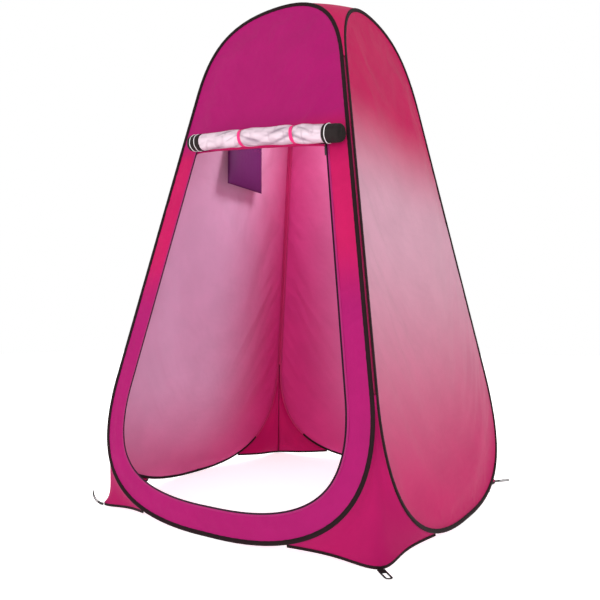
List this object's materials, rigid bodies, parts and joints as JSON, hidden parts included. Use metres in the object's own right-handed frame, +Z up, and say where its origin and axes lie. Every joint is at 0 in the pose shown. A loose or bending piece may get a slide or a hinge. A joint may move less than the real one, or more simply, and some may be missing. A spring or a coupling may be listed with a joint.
{
  "type": "pop-up privacy shower tent",
  "caption": "Pop-up privacy tent of egg-shaped spring hoops sewn side by side, with a rolled-up door, roof panel, corner gussets, peg loops and a hanging pocket.",
  "frame": {"origin": "centre of the footprint on the ground", "axes": "+Z up, door facing -Y, +X to the right of someone who looks at the door from outside"},
  "size_m": [1.2882, 1.2882, 1.9008],
  "materials": {
    "spring_steel": "flat spring-steel wire, sealed inside its sleeve",
    "binding": "woven polyester binding tape, matt",
    "front_fabric": "thin coated polyester taffeta, slight sheen",
    "wall_fabric": "thin coated polyester taffeta, slight sheen, silvery inside",
    "gusset_fabric": "thin coated polyester taffeta, slight sheen",
    "door_lining": "silver-coated polyester, satin",
    "roll_end": "dark woven edge tape, matt",
    "tie": "woven polyester ribbon",
    "pocket_fabric": "coated polyester, matt",
    "zip_tape": "woven zip tape with moulded coil",
    "slider_metal": "black painted zinc, semi-gloss",
    "webbing": "woven polypropylene webbing"
  },
  "bodies": {
    "front": {"front_hoop_wire": "spring_steel", "front_hoop_ferrule": "spring_steel", "front_hoop_binding": "binding", "front_wall_panel": "front_fabric", "door_zip_tape": "zip_tape", "door_zip_coil": "zip_tape", "door_top_seam": "front_fabric", "door_roll": "door_lining", "door_roll_end_left": "roll_end", "door_roll_end_right": "roll_end", "door_tie_left": "tie", "door_tie_right": "tie", "gusset_front_right": "gusset_fabric", "gusset_hem_front_right": "binding", "seam_tape_front_right": "gusset_fabric", "gusset_left_front": "gusset_fabric", "gusset_hem_left_front": "binding", "seam_tape_left_front": "gusset_fabric", "roof_panel": "gusset_fabric"},
    "right": {"right_hoop_wire": "spring_steel", "right_hoop_ferrule": "spring_steel", "right_hoop_binding": "binding", "right_wall_panel": "wall_fabric", "gusset_right_back": "gusset_fabric", "gusset_hem_right_back": "binding", "seam_tape_right_back": "gusset_fabric"},
    "back": {"back_hoop_wire": "spring_steel", "back_hoop_ferrule": "spring_steel", "back_hoop_binding": "binding", "back_wall_panel": "wall_fabric", "gusset_back_left": "gusset_fabric", "gusset_hem_back_left": "binding", "seam_tape_back_left": "gusset_fabric"},
    "left": {"left_hoop_wire": "spring_steel", "left_hoop_ferrule": "spring_steel", "left_hoop_binding": "binding", "left_wall_panel": "wall_fabric", "pocket_hanging_tape": "pocket_fabric"},
    "pocket": {"pocket_back": "pocket_fabric", "pocket_pouch": "pocket_fabric", "pocket_mouth_hem": "pocket_fabric"},
    "zip_slider": {"zip_slider": "slider_metal"},
    "zip_pull": {"zip_pull": "slider_metal"},
    "peg_loop_front_right": {"peg_loop_front_right": "webbing"},
    "peg_loop_right_back": {"peg_loop_right_back": "webbing"},
    "peg_loop_back_left": {"peg_loop_back_left": "webbing"},
    "peg_loop_left_front": {"peg_loop_left_front": "webbing"}
  },
  "joints": [
    {"name": "panel_fold", "type": "hinge", "parent": "front", "child": "right", "pos_m": [0.64, -0.64, 0.005], "axis": [0.1791, -0.1791, -0.9674], "range_deg": [0, 75], "stiffness_Nm_per_rad": 4, "deforming": ["gusset_front_right", "gusset_hem_front_right", "seam_tape_front_right", "roof_panel"]},
    {"name": "left_fold", "type": "hinge", "parent": "front", "child": "left", "pos_m": [-0.6361, -0.6361, 0.005], "axis": [-0.1791, -0.1791, -0.9674], "range_deg": [0, 77], "deforming": ["gusset_left_front", "gusset_hem_left_front", "seam_tape_left_front"]},
    {"name": "back_fold", "type": "hinge", "parent": "right", "child": "back", "pos_m": [0.6361, 0.6361, 0.005], "axis": [-0.1791, -0.1791, 0.9674], "range_deg": [0, 77], "deforming": ["gusset_right_back", "gusset_hem_right_back", "seam_tape_right_back", "gusset_back_left", "gusset_hem_back_left", "seam_tape_back_left"]},
    {"name": "pocket_swing", "type": "hinge", "parent": "left", "child": "pocket", "pos_m": [-0.35705, 0, 1.526], "axis": [0, 1, 0], "range_deg": [-75, 9]},
    {"name": "zip_slide", "type": "slide", "parent": "front", "child": "zip_slider", "axis": [0.1791, -0.1791, -0.9674], "range_m": [0, 0.8]},
    {"name": "zip_pull_swing", "type": "hinge", "parent": "zip_slider", "child": "zip_pull", "pos_m": [0.30563, -0.41251, 1.27911], "axis": [-0.9838, -0.0326, -0.1761], "range_deg": [0, 80]},
    {"name": "peg_loop_front_right_flip", "type": "hinge", "parent": "front", "child": "peg_loop_front_right", "pos_m": [0.579, -0.579, 0.0024], "axis": [-0.7071, -0.7071, 0], "range_deg": [0, 80]},
    {"name": "peg_loop_right_back_flip", "type": "hinge", "parent": "back", "child": "peg_loop_right_back", "pos_m": [0.579, 0.579, 0.0024], "axis": [0.7071, -0.7071, 0], "range_deg": [0, 80]},
    {"name": "peg_loop_back_left_flip", "type": "hinge", "parent": "back", "child": "peg_loop_back_left", "pos_m": [-0.579, 0.579, 0.0024], "axis": [0.7071, 0.7071, 0], "range_deg": [0, 80]},
    {"name": "peg_loop_left_front_flip", "type": "hinge", "parent": "front", "child": "peg_loop_left_front", "pos_m": [-0.579, -0.579, 0.0024], "axis": [-0.7071, 0.7071, 0], "range_deg": [-55, 25]}
  ],
  "couplings": [
    {"joint": "left_fold", "follows": "panel_fold", "ratio": 1.02},
    {"joint": "back_fold", "follows": "panel_fold", "ratio": 1.02}
  ]
}
